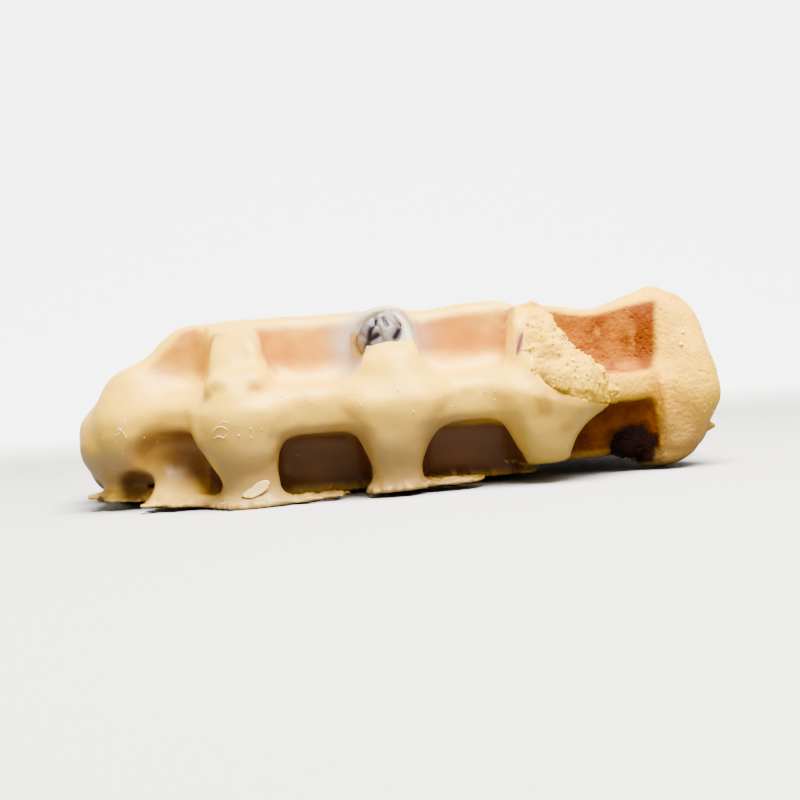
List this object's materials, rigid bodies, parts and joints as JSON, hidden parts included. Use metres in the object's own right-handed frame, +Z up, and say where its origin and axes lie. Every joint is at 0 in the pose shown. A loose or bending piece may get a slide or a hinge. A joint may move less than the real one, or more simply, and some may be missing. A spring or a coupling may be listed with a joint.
{
  "type": "liege waffle",
  "caption": "Thick oval brioche waffle with a deep square grid on both faces, dipped for most of its length in pale icing that set in drips and feet, with berries.",
  "frame": {"origin": "middle of the footprint, on the surface that the feet of the icing and the bare end stand on", "axes": "+X along the waffle, from the dipped end to the bare end; +Y towards the far side, so the side that the picture shows faces -Y; +Z up, through the grid"},
  "size_m": [0.1096, 0.0868, 0.0305],
  "materials": {
    "dough": "baked golden dough, matte, browner where the iron touched it",
    "icing": "pale ivory icing, soft sheen",
    "berry_skin": "dark blue berry skin, slightly moist"
  },
  "bodies": {
    "root": {"waffle_dough": "dough", "icing_coat": "icing", "blueberry_top": "berry_skin", "blueberry_under": "berry_skin"}
  },
  "joints": []
}
